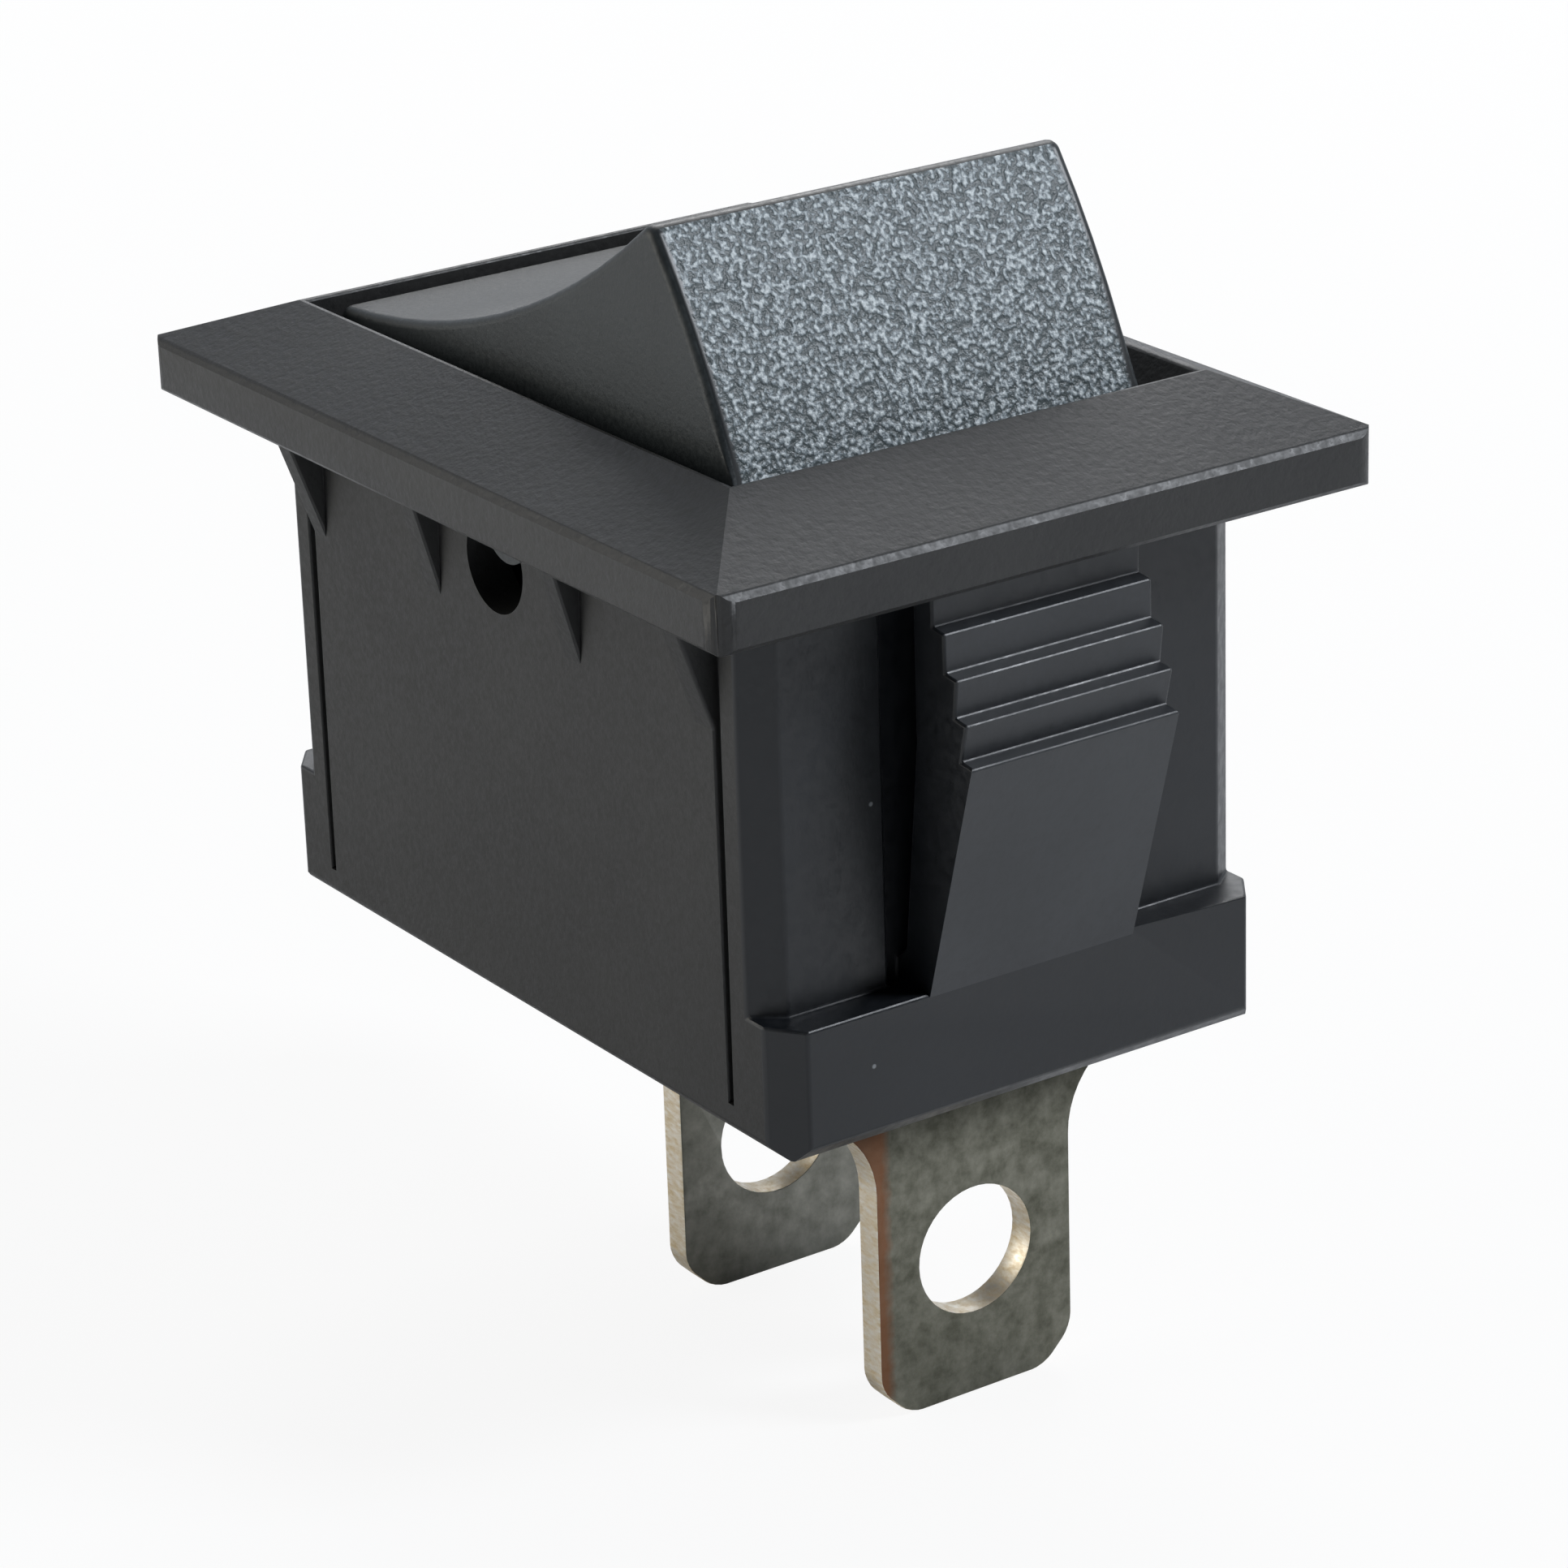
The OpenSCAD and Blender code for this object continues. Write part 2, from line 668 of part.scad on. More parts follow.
// End terminal: bent over inside the body into the shelf under the fixed contact
module end_terminal() {
    color(brass) {
        translate([end_x, 0, 0]) along_x(blade_t) blade_section();
        along_y(neck_w) polygon([
            [end_x - blade_t / 2, -body_h], [end_x + blade_t / 2, -body_h],
            [end_x + blade_t / 2, shelf_z - 0.2], [end_x + blade_t / 2 - 0.2, shelf_z],
            [shelf_in, shelf_z], [shelf_in, shelf_z - blade_t],
            [end_x - blade_t / 2, shelf_z - blade_t]
        ]);
    }
}

// Silver contact on the end terminal's shelf
module fixed_contact() {
    color(silver) translate([silver_x, 0, shelf_z])
        cylinder(r = silver_r, h = silver_t, $fn = round_fn);
}

housing();
rocker();
plunger();
plunger_spring();
contact_bridge();
bridge_contact();
common_terminal();
end_terminal();
fixed_contact();
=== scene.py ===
# %% [markdown]
# # A miniature snap-in rocker switch
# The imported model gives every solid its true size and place. This script dresses it: it copies the
# moulded solids, breaks their edges as a mould does, and gives each surface the finish of the real
# one. Everything is in metres, in the model's own frame.

import math

import bmesh
import bpy
from mathutils import Matrix, Vector


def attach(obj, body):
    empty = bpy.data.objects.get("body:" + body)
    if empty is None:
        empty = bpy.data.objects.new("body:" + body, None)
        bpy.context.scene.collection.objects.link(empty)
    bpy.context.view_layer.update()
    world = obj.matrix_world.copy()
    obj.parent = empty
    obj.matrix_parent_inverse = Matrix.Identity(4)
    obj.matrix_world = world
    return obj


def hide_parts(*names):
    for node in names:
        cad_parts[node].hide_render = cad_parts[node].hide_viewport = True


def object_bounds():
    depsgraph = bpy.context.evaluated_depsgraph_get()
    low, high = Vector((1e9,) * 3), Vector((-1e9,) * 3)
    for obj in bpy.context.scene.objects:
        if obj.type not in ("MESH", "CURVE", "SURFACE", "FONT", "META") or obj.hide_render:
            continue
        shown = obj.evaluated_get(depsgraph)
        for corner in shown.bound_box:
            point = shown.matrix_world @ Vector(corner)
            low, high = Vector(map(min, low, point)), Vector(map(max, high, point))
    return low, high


MM = 0.001


def box_in_mm(box):
    """A box's two corners as rounded millimetres, for printing."""
    return [[round(v / MM, 2) for v in corner] for corner in box]


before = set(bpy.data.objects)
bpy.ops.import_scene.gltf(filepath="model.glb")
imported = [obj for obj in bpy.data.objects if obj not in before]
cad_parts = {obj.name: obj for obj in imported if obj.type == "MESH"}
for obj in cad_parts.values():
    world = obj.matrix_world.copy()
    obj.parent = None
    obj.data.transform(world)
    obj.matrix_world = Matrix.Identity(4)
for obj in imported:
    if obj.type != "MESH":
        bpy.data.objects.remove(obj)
cad_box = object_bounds()
print("CAD box, mm:", box_in_mm(cad_box))

# %% [markdown]
# ## Camera
# A long lens close to a small object keeps its edges nearly parallel. The camera looks down on the
# near corner of the bezel. Its axes are built from the viewing angles, and a slight roll turns the
# picture about its centre.

# %% Camera
azimuth = math.radians(56.02)
elevation = math.radians(21.66)
roll = math.radians(-1.92)
camera_place = Vector((62.209, -41.424, 24.275)) * MM

back = Vector(
    (
        math.sin(azimuth) * math.cos(elevation),
        -math.cos(azimuth) * math.cos(elevation),
        math.sin(elevation),
    )
)
level_right = Vector((0, 0, 1)).cross(back).normalized()
level_up = back.cross(level_right)
camera_right = level_right * math.cos(roll) + level_up * math.sin(roll)
camera_up = level_up * math.cos(roll) - level_right * math.sin(roll)

camera_data = bpy.data.cameras.new("switch_camera")
camera_data.lens = 125.75
camera_data.sensor_width = 36
camera_data.clip_start = 5 * MM
camera_data.clip_end = 5
camera = bpy.data.objects.new("switch_camera", camera_data)
bpy.context.scene.collection.objects.link(camera)
camera.matrix_world = Matrix.Translation(camera_place) @ Matrix(
    (camera_right, camera_up, back)
).transposed().to_4x4()
bpy.context.scene.camera = camera
print("camera from the origin, mm:", round(camera_place.length / MM, 1))

# %% [markdown]
# ## Small helpers for materials
# Colours are written as the hex values that a colour picker shows, and one function turns them to
# the linear values that the shader needs. One more function adds a node, with its settings and the
# links into it.


# %% Colours
def linear(hex_colour):
    """(r, g, b, 1), linear, from an sRGB hex colour such as "3a3b3d"."""
    channels = [int(hex_colour[i : i + 2], 16) / 255 for i in (0, 2, 4)]
    return tuple(
        c / 12.92 if c <= 0.04045 else ((c + 0.055) / 1.055) ** 2.4 for c in channels
    ) + (1,)


# %% Nodes
def add_node(tree, kind, inputs=(), **settings):
    """A new node. inputs holds (socket, value) pairs.

    A value is a number, a colour or another node's output, which is linked in.
    """
    made = tree.nodes.new(kind)
    for name, value in settings.items():
        setattr(made, name, value)
    for socket, value in inputs:
        if isinstance(value, bpy.types.NodeSocket):
            tree.links.new(value, made.inputs[socket])
        else:
            made.inputs[socket].default_value = value
    return made


def new_material(name):
    """(material, its node tree, its shader, a position in millimetres on the object)."""
    material = bpy.data.materials.new(name)
    material.use_nodes = True
    tree = material.node_tree
    tree.nodes.clear()
    shader = add_node(tree, "ShaderNodeBsdfPrincipled")
    add_node(tree, "ShaderNodeOutputMaterial", [("Surface", shader.outputs["BSDF"])])
    place = add_node(tree, "ShaderNodeTexCoord").outputs["Object"]
    in_mm = add_node(
        tree,
        "ShaderNodeMapping",
        [("Vector", place), ("Scale", (1 / MM, 1 / MM, 1 / MM))],
    ).outputs["Vector"]
    return material, tree, shader, in_mm


def set_ramp(ramp, stops):
    """Sets a colour ramp's stops from (position, colour) pairs."""
    elements = ramp.color_ramp.elements
    while len(elements) > len(stops):
        elements.remove(elements[-1])
    while len(elements) < len(stops):
        elements.new(1)
    for element, (position, colour) in zip(elements, stops):
        element.position = position
        element.color = colour


# %% [markdown]
# ## Specks
# Dust and small nicks are round dots with much room around them. A cell pattern gives every cell
# one dot at its centre, and the cell's own random colour decides whether the dot is there at all.


# %% Specks
def specks(tree, in_mm, cell_mm, share):
    """1 on round specks about a tenth of a cell across, which only a share of the cells hold."""
    rim, core = 0.09, 0.05  # where a speck starts and is full, in cells from its centre
    cells = add_node(tree, "ShaderNodeTexVoronoi", [("Vector", in_mm), ("Scale", 1 / cell_mm)])
    speck = add_node(
        tree,
        "ShaderNodeMapRange",
        [
            ("Value", cells.outputs["Distance"]),
            ("From Min", rim),
            ("From Max", core),
            ("To Min", 0),
            ("To Max", 1),
        ],
    )
    chosen = add_node(
        tree,
        "ShaderNodeMath",
        [(0, cells.outputs["Color"]), (1, 1 - share)],
        operation="GREATER_THAN",
    )
    return add_node(
        tree,
        "ShaderNodeMath",
        [(0, speck.outputs["Result"]), (1, chosen.outputs["Value"])],
        operation="MULTIPLY",
    ).outputs["Value"]


# %% [markdown]
# ## Black nylon, moulded
# Housing and rocker are injection-moulded PA66, coloured through. The mould is lightly
# spark-eroded, so the skin is an even matte grain about a tenth of a millimetre across, with a
# broad soft sheen and no clear reflections. Slow changes of tone come from how the plastic flowed
# and froze. A few pale specks of dust cling to it.

# %% Moulded nylon
NYLON_IOR = 1.53
NOISE_LOW, NOISE_HIGH = 0.3, 0.7  # nearly all of a noise pattern lies between these


def moulded_nylon(name, dark, light, rough, grain_mm, grain_depth_mm, dust=0.0):
    """Moulded nylon: two close tones, fine grain, and a share of cells that hold a dust speck."""
    flow_mm, dust_cell_mm, rough_spread = 2.4, 0.45, 0.07
    material, tree, shader, in_mm = new_material(name)
    flow = add_node(
        tree, "ShaderNodeTexNoise", [("Vector", in_mm), ("Scale", 1 / flow_mm), ("Detail", 3)]
    )
    grain = add_node(
        tree,
        "ShaderNodeTexNoise",
        [("Vector", in_mm), ("Scale", 1 / grain_mm), ("Detail", 2), ("Roughness", 0.6)],
    )
    tone = add_node(
        tree,
        "ShaderNodeMix",
        [("Factor", 0.5), ("A", flow.outputs["Fac"]), ("B", grain.outputs["Fac"])],
    )
    ramp = add_node(tree, "ShaderNodeValToRGB", [("Fac", tone.outputs["Result"])])
    set_ramp(ramp, [(0.38, linear(dark)), (0.62, linear(light))])
    colour = ramp.outputs["Color"]
    if dust:
        dusty = specks(tree, in_mm, dust_cell_mm, dust)
        colour = add_node(
            tree,
            "ShaderNodeMix",
            [("Factor", dusty), ("A", colour), ("B", linear("7d8183"))],
            data_type="RGBA",
        ).outputs["Result"]
    tree.links.new(colour, shader.inputs["Base Color"])
    gloss = add_node(
        tree,
        "ShaderNodeMapRange",
        [
            ("Value", grain.outputs["Fac"]),
            ("From Min", NOISE_LOW),
            ("From Max", NOISE_HIGH),
            ("To Min", rough - rough_spread),
            ("To Max", rough + rough_spread),
        ],
    )
    tree.links.new(gloss.outputs["Result"], shader.inputs["Roughness"])
    shader.inputs["IOR"].default_value = NYLON_IOR
    bump = add_node(
        tree,
        "ShaderNodeBump",
        [("Height", grain.outputs["Fac"]), ("Distance", grain_depth_mm * MM), ("Strength", 1)],
    )
    tree.links.new(bump.outputs["Normal"], shader.inputs["Normal"])
    return material


# %% The nylon finishes
# the outer faces: a velvety dark grey with a faint warm cast
housing_nylon = moulded_nylon(
    "black_nylon_matte",
    "1b1b1b",
    "252524",
    rough=0.58,
    grain_mm=0.10,
    grain_depth_mm=0.006,
    dust=0.06,
)
# the bezel: the same plastic with a coarser, leathery grain that looks a shade lighter
bezel_nylon = moulded_nylon(
    "black_nylon_bezel",
    "1e1e1e",
    "2b2b2a",
    rough=0.47,
    grain_mm=0.12,
    grain_depth_mm=0.010,
    dust=0.05,
)
# broken edges: smooth and glossy, and painted a pale blue-grey as painted highlights, thin lines
# that stand in for the lamp's reflection
edge_nylon_painted_highlight = moulded_nylon(
    "black_nylon_edge_painted_highlight",
    "6a7178",
    "828990",
    rough=0.24,
    grain_mm=0.5,
    grain_depth_mm=0.001,
)
# the end walls and the collar: the mould was polished to let them slide out, so they gleam a little;
# their darker blue-black colour is painted shade
end_wall_nylon_painted_shade = moulded_nylon(
    "black_nylon_smooth_painted_shade",
    "111418",
    "191c20",
    rough=0.40,
    grain_mm=0.16,
    grain_depth_mm=0.003,
    dust=0.12,
)
# the latches: painted a little paler as painted light, for the floor's light on their downward faces
latch_nylon_painted_light = moulded_nylon(
    "black_nylon_latch_painted_light",
    "292b2e",
    "343639",
    rough=0.42,
    grain_mm=0.16,
    grain_depth_mm=0.003,
    dust=0.05,
)
# the rocker's sides: a cooler grey than the housing, with a soft gleam
rocker_side_nylon = moulded_nylon(
    "rocker_nylon_side",
    "252a2c",
    "33393b",
    rough=0.46,
    grain_mm=0.09,
    grain_depth_mm=0.006,
    dust=0.05,
)
# the finger surface: worn smooth, so it mirrors the pale room at a low angle; its paler grey is a
# painted sheen
finger_nylon_painted_sheen = moulded_nylon(
    "rocker_nylon_finger_painted_sheen",
    "383836",
    "444442",
    rough=0.42,
    grain_mm=0.08,
    grain_depth_mm=0.004,
)
for finish in (
    housing_nylon,
    bezel_nylon,
    edge_nylon_painted_highlight,
    end_wall_nylon_painted_shade,
    latch_nylon_painted_light,
    rocker_side_nylon,
    finger_nylon_painted_sheen,
):
    print("finish:", finish.name)

# %% [markdown]
# ## Spark-eroded rocker ends
# The two end faces of the rocker have a coarse texture that was burnt into the mould by sparks:
# round-topped grains about a tenth of a millimetre across. Each grain has its own slope, so some
# flash and some stay dark. A noise and a cell pattern make the relief, and a pale tone painted on
# the grains' tops is a painted highlight for their glints. The texture stops short of the sides
# and leaves a smooth dark border there.


# %% Coarse sparkle for the rocker's ends
def spark_eroded_nylon_painted_glints(name, grain_mm, border_y_mm):
    """Nylon with a coarse grain whose tops carry painted highlights up to a distance from the
    middle, and smooth beyond it.
    """
    relief_mm, ragged_mm, fade_mm = 0.028, 0.12, 0.06
    pits_per_grain = 0.9
    material, tree, shader, in_mm = new_material(name)
    bumps = add_node(
        tree,
        "ShaderNodeTexNoise",
        [("Vector", in_mm), ("Scale", 1 / grain_mm), ("Detail", 2.5), ("Roughness", 0.6)],
    )
    pits = add_node(
        tree,
        "ShaderNodeTexVoronoi",
        [("Vector", in_mm), ("Scale", pits_per_grain / grain_mm)],
        feature="SMOOTH_F1",
    )
    relief = add_node(
        tree,
        "ShaderNodeMath",
        [(0, bumps.outputs["Fac"]), (1, pits.outputs["Distance"])],
        operation="SUBTRACT",
    )
    # painted highlights: the grains' tops go pale, standing in for their glints
    ramp = add_node(tree, "ShaderNodeValToRGB", [("Fac", relief.outputs["Value"])])
    set_ramp(
        ramp,
        [(0.0, linear("565f61")), (0.14, linear("89949a")), (0.34, linear("d4dcde"))],
    )
    axes = add_node(tree, "ShaderNodeSeparateXYZ", [("Vector", in_mm)])
    from_middle = add_node(
        tree, "ShaderNodeMath", [(0, axes.outputs["Y"])], operation="ABSOLUTE"
    )
    ragged = add_node(
        tree,
        "ShaderNodeMath",
        [(0, bumps.outputs["Fac"]), (1, ragged_mm), (2, from_middle.outputs["Value"])],
        operation="MULTIPLY_ADD",
    )
    textured = add_node(
        tree,
        "ShaderNodeMapRange",
        [
            ("Value", ragged.outputs["Value"]),
            ("From Min", border_y_mm),
            ("From Max", border_y_mm + fade_mm),
            ("To Min", 1),
            ("To Max", 0),
        ],
    )
    colour = add_node(
        tree,
        "ShaderNodeMix",
        [
            ("Factor", textured.outputs["Result"]),
            ("A", linear("1f2325")),
            ("B", ramp.outputs["Color"]),
        ],
        data_type="RGBA",
    )
    tree.links.new(colour.outputs["Result"], shader.inputs["Base Color"])
    shader.inputs["Roughness"].default_value = 0.38
    shader.inputs["IOR"].default_value = NYLON_IOR
    bump = add_node(
        tree,
        "ShaderNodeBump",
        [
            ("Height", relief.outputs["Value"]),
            ("Distance", relief_mm * MM),
            ("Strength", textured.outputs["Result"]),
        ],
    )
    tree.links.new(bump.outputs["Normal"], shader.inputs["Normal"])
    return material


rocker_end_nylon_painted_glints = spark_eroded_nylon_painted_glints(
    "rocker_nylon_spark_eroded_painted_glints", grain_mm=0.07, border_y_mm=3.28
)
print("rocker ends:", rocker_end_nylon_painted_glints.name)

# %% [markdown]
# ## Rolled and drawn metals
# Rolled strip and drawn wire aren't mirrors: the rolls and dies leave a faint mottling, which
# shifts the tone and the gloss together. One noise drives the colour, the roughness and a very
# low relief. Stretching the noise turns it into the ribs of a sheared edge.


# %% Mottled metal
def rolled_metal(name, dark, light, rough, mottle_mm, stretch=(1, 1, 1)):
    """(material, tree, shader, position in mm, base colour) of a mottled metal."""
    rough_spread, relief_mm = 0.08, 0.004
    material, tree, shader, in_mm = new_material(name)
    stretched = add_node(
        tree, "ShaderNodeMapping", [("Vector", in_mm), ("Scale", stretch)]
    ).outputs["Vector"]
    mottle = add_node(
        tree,
        "ShaderNodeTexNoise",
        [("Vector", stretched), ("Scale", 1 / mottle_mm), ("Detail", 6), ("Roughness", 0.62)],
    )
    ramp = add_node(tree, "ShaderNodeValToRGB", [("Fac", mottle.outputs["Fac"])])
    set_ramp(ramp, [(NOISE_LOW, linear(dark)), (NOISE_HIGH, linear(light))])
    tree.links.new(ramp.outputs["Color"], shader.inputs["Base Color"])
    shader.inputs["Metallic"].default_value = 1
    gloss = add_node(
        tree,
        "ShaderNodeMapRange",
        [
            ("Value", mottle.outputs["Fac"]),
            ("From Min", NOISE_LOW),
            ("From Max", NOISE_HIGH),
            ("To Min", rough + rough_spread),
            ("To Max", rough - rough_spread),
        ],
    )
    tree.links.new(gloss.outputs["Result"], shader.inputs["Roughness"])
    bump = add_node(
        tree,
        "ShaderNodeBump",
        [("Height", mottle.outputs["Fac"]), ("Distance", relief_mm * MM), ("Strength", 1)],
    )
    tree.links.new(bump.outputs["Normal"], shader.inputs["Normal"])
    return material, tree, shader, in_mm, ramp.outputs["Color"]


# %% Plain metals, and the plunger's nylon
# bare metal where the strip was punched: creamy, with ribs across the thickness
sheared_edge, *_ = rolled_metal(
    "brass_sheared_edge", "dcc9a4", "fffaf0", rough=0.5, mottle_mm=0.11, stretch=(0.6, 0.6, 1.6)
)
# the contact arm: warm, softly shining copper
copper_strip, *_ = rolled_metal("copper_strip", "946850", "b08a6e", rough=0.35, mottle_mm=0.5)
# contact buttons: pale and satin
silver_contact, *_ = rolled_metal("fine_silver", "c4c2bc", "dad9d4", rough=0.3, mottle_mm=0.3)
# spring wire: bright grey with a fine mottling
spring_wire, *_ = rolled_metal("spring_steel_wire", "84858a", "a3a4a8", rough=0.3, mottle_mm=0.2)
# the plunger: uncoloured nylon, ivory and a little waxy
plunger_nylon = moulded_nylon(
    "natural_nylon", "cdc7b4", "dad5c4", rough=0.35, grain_mm=0.2, grain_depth_mm=0.002
)
for finish in (sheared_edge, copper_strip, silver_contact, spring_wire, plunger_nylon):
    print("finish:", finish.name)

# %% [markdown]
# ## Plated brass strip
# The terminals are stamped from brass strip with a dull tin plating over a copper flash. The flat
# faces keep the rolled strip's faint mottling. They are painted dark right under the body and
# darker towards the top, which is painted shade. Along one edge the plating has worn down to the
# copper. The punched edges cut through the plating, so bare, brighter metal shows with the die's
# tear marks.


# %% The terminals' flat faces
def plated_strip(name, dark, light, base_z_mm, edge_y_mm, wear):
    """Dull plating: painted shade under the body, worn to copper beside one edge, with a few painted
    glints.
    """
    fray_mm, fray_y_mm, fray_z_mm = 0.25, 0.16, 0.3
    worn_from_mm, worn_to_mm = 0.18, 0.34  # inwards from the edge
    shade_reach_mm, shade_share = 1.5, 0.92
    glints_end_mm, glints_full_mm = 1.8, 1.2  # down from the body
    glint_cell_mm, glint_share = 0.35, 0.3
    material, tree, shader, in_mm, colour = rolled_metal(
        name, dark, light, rough=0.36, mottle_mm=0.3
    )
    axes = add_node(tree, "ShaderNodeSeparateXYZ", [("Vector", in_mm)])
    fray = add_node(
        tree, "ShaderNodeTexNoise", [("Vector", in_mm), ("Scale", 1 / fray_mm), ("Detail", 4)]
    )
    frayed_y = add_node(
        tree,
        "ShaderNodeMath",
        [(0, fray.outputs["Fac"]), (1, fray_y_mm), (2, axes.outputs["Y"])],
        operation="MULTIPLY_ADD",
    )
    worn = add_node(
        tree,
        "ShaderNodeMapRange",
        [
            ("Value", frayed_y.outputs["Value"]),
            ("From Min", edge_y_mm + worn_from_mm),
            ("From Max", edge_y_mm + worn_to_mm),
            ("To Min", wear),
            ("To Max", 0),
        ],
    )
    coppery = add_node(
        tree,
        "ShaderNodeMix",
        [("Factor", worn.outputs["Result"]), ("A", colour), ("B", linear("85583c"))],
        data_type="RGBA",
    )
    frayed_z = add_node(
        tree,
        "ShaderNodeMath",
        [(0, fray.outputs["Fac"]), (1, fray_z_mm), (2, axes.outputs["Z"])],
        operation="MULTIPLY_ADD",
    )
    # painted shade: the blade darkens towards the body, to near black right under it
    painted_shade = add_node(
        tree,
        "ShaderNodeMapRange",
        [
            ("Value", frayed_z.outputs["Value"]),
            ("From Min", base_z_mm - shade_reach_mm),
            ("From Max", base_z_mm),
            ("To Min", 0),
            ("To Max", shade_share),
        ],
        interpolation_type="SMOOTHSTEP",
    )
    darkened = add_node(
        tree,
        "ShaderNodeMix",
        [
            ("Factor", painted_shade.outputs["Result"]),
            ("A", coppery.outputs["Result"]),
            ("B", linear("141412")),
        ],
        data_type="RGBA",
    )
    # painted glints: bright specks, only in the upper part of the blade
    upper = add_node(
        tree,
        "ShaderNodeMapRange",
        [
            ("Value", frayed_z.outputs["Value"]),
            ("From Min", base_z_mm - glints_end_mm),
            ("From Max", base_z_mm - glints_full_mm),
            ("To Min", 0),
            ("To Max", 1),
        ],
    )
    painted_glints = add_node(
        tree,
        "ShaderNodeMath",
        [(0, specks(tree, in_mm, glint_cell_mm, glint_share)), (1, upper.outputs["Result"])],
        operation="MULTIPLY",
    )
    glinted = add_node(
        tree,
        "ShaderNodeMix",
        [
            ("Factor", painted_glints.outputs["Value"]),
            ("A", darkened.outputs["Result"]),
            ("B", linear("f4f2ea")),
        ],
        data_type="RGBA",
    )
    tree.links.new(glinted.outputs["Result"], shader.inputs["Base Color"])
    return material


blade_base_mm = -7.9
blade_edge_mm = -1.7
worn_plating = plated_strip(
    "plated_brass_worn", "5f5f53", "88877b", blade_base_mm, blade_edge_mm, wear=0.8
)
clean_plating = plated_strip(
    "plated_brass_clean", "6e6e66", "8d8c84", blade_base_mm, blade_edge_mm, wear=0
)
print("platings:", worn_plating.name, clean_plating.name)

# %% [markdown]
# ## Copying a moulded solid
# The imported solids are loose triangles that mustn't change, so a copy is dressed and stands for
# each. Its doubled points are merged and its flat faces made whole again, because a bevel needs
# faces that share their edges.


# %% A clean copy
def select_only(piece):
    """Selects one object and makes it active, for the operators that follow."""
    bpy.ops.object.select_all(action="DESELECT")
    piece.select_set(True)
    bpy.context.view_layer.objects.active = piece


def merged_copy(node, name):
    """A copy of a CAD node, with its doubled points merged and its flat faces made whole."""
    merge_mm, flat_degrees = 0.0005, 0.4
    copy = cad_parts[node].copy()
    copy.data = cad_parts[node].data.copy()
    copy.name = copy.data.name = name
    for key in list(copy.keys()):
        del copy[key]
    copy.parent = None
    bpy.context.scene.collection.objects.link(copy)
    select_only(copy)
    bpy.ops.object.mode_set(mode="EDIT")
    bpy.ops.mesh.select_all(action="SELECT")
    bpy.ops.mesh.remove_doubles(threshold=merge_mm * MM)
    bpy.ops.mesh.dissolve_limited(angle_limit=math.radians(flat_degrees))
    bpy.ops.object.mode_set(mode="OBJECT")
    return copy


# %% [markdown]
# ## Breaking edges
# No mould or punch makes a perfectly sharp edge. A bevel on chosen edges only leaves round holes
# their shape, and the narrow new faces can take a material of their own. The bevel modifier's own
# clamp would shrink every bevel to fit the tightest spot, so it is off, and edges without room
# are left sharp instead.


# %% Broken edges
def apply_modifier(piece, modifier):
    """Applies one modifier of a piece."""
    select_only(piece)
    bpy.ops.object.modifier_apply(modifier=modifier.name)


def break_edges(piece, width_mm, segments, material_index, chosen):
    """Bevels the sharp edges for which chosen(edge) is true, where there is room for the width."""
    sharp = math.radians(28)
    width = width_mm * MM
    spare = 1.1
    mesh = piece.data
    if "bevel_weight_edge" not in mesh.attributes:
        mesh.attributes.new("bevel_weight_edge", "FLOAT", "EDGE")
    work = bmesh.new()
    work.from_mesh(mesh)
    layer = work.edges.layers.float["bevel_weight_edge"]
    picked = {
        edge
        for edge in work.edges
        if len(edge.link_faces) == 2 and edge.calc_face_angle() > sharp and chosen(edge)
    }
    at_picked = {vertex for edge in picked for vertex in edge.verts}
    count = 0
    for edge in work.edges:
        beside = {near for vertex in edge.verts for near in vertex.link_edges} - picked
        # a neighbour loses one width at each of its ends that a picked edge reaches
        roomy = all(
            near.calc_length() > spare * width * len(at_picked.intersection(near.verts))
            for near in beside
        )
        edge[layer] = 1 if edge in picked and roomy else 0
        count += int(edge[layer])
    work.to_mesh(mesh)
    work.free()
    bevel = piece.modifiers.new("broken_edges", "BEVEL")
    bevel.limit_method = "WEIGHT"
    bevel.width = width
    bevel.segments = segments
    bevel.material = material_index
    bevel.use_clamp_overlap = False
    apply_modifier(piece, bevel)
    print(piece.name, "edges broken:", count)


# %% [markdown]
# ## Finishing a piece
# A piece is smoothed by angle, and a weighted-normal modifier keeps its large faces flat to the
# light. It then rides on its body and takes the place of its solid.


# %% Materials and finish
def set_materials(piece, materials):
    """Gives a piece its materials, in the order that its faces' indices mean."""
    piece.data.materials.clear()
    for material in materials:
        piece.data.materials.append(material)


def finish_piece(piece, body, replaced, smooth_degrees=32):
    """Smooths a piece by angle, and ties it to its body and to the solid it stands for."""
    select_only(piece)
    bpy.ops.object.shade_smooth_by_angle(angle=math.radians(smooth_degrees))
    even = piece.modifiers.new("even_normals", "WEIGHTED_NORMAL")
    even.mode = "FACE_AREA"
    even.weight = 100
    even.keep_sharp = True
    apply_modifier(piece, even)
    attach(piece, body)
    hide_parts(replaced)
    print(piece.name, len(piece.data.polygons), "faces")


# %% [markdown]
# ## Housing
# The housing is one moulding, but its regions came from different parts of the mould: a leathery
# bezel, matte long walls, polished ends and collar, and the latches. The ends and collar are
# painted darker as painted shade, and the latches paler as painted light. The faces are sorted
# by their place. The body's edges and the rim of the rocker's opening are broken, and these
# edges are painted pale as painted highlights.

# %% Housing edges
body_top = -0.05 * MM
bezel_under = 0.01 * MM
opening_rim = 1.45 * MM
ramp_height = 2.5 * MM
ramp_out = 6.9 * MM
shortest_edge = 0.2 * MM


